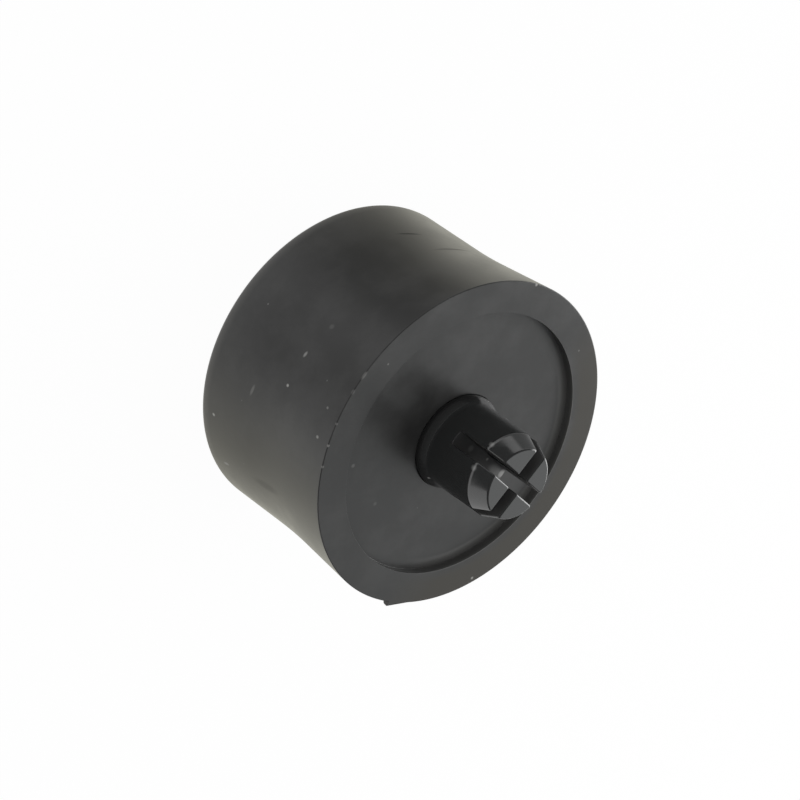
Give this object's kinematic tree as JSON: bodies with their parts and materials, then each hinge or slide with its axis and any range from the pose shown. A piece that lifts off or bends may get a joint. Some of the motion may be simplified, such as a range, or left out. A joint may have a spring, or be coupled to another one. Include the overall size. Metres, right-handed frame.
{
  "type": "rubber foot",
  "caption": "Round black rubber equipment foot with a flared rim, a shallow recessed mounting face and a split push-in pin that presses into a panel hole.",
  "frame": {"origin": "centre of the floor face that the foot stands on", "axes": "+Z along the foot's axis from the floor face towards the pin's tip, X and Y through the middles of opposite prongs of the pin"},
  "size_m": [0.019, 0.019, 0.0157],
  "materials": {
    "rubber": "matt moulded black rubber, slightly dusty",
    "pin_plastic": "smooth glossy black moulded plastic"
  },
  "bodies": {
    "root": {"rubber_body": "rubber", "push_pin": "pin_plastic"}
  },
  "joints": []
}
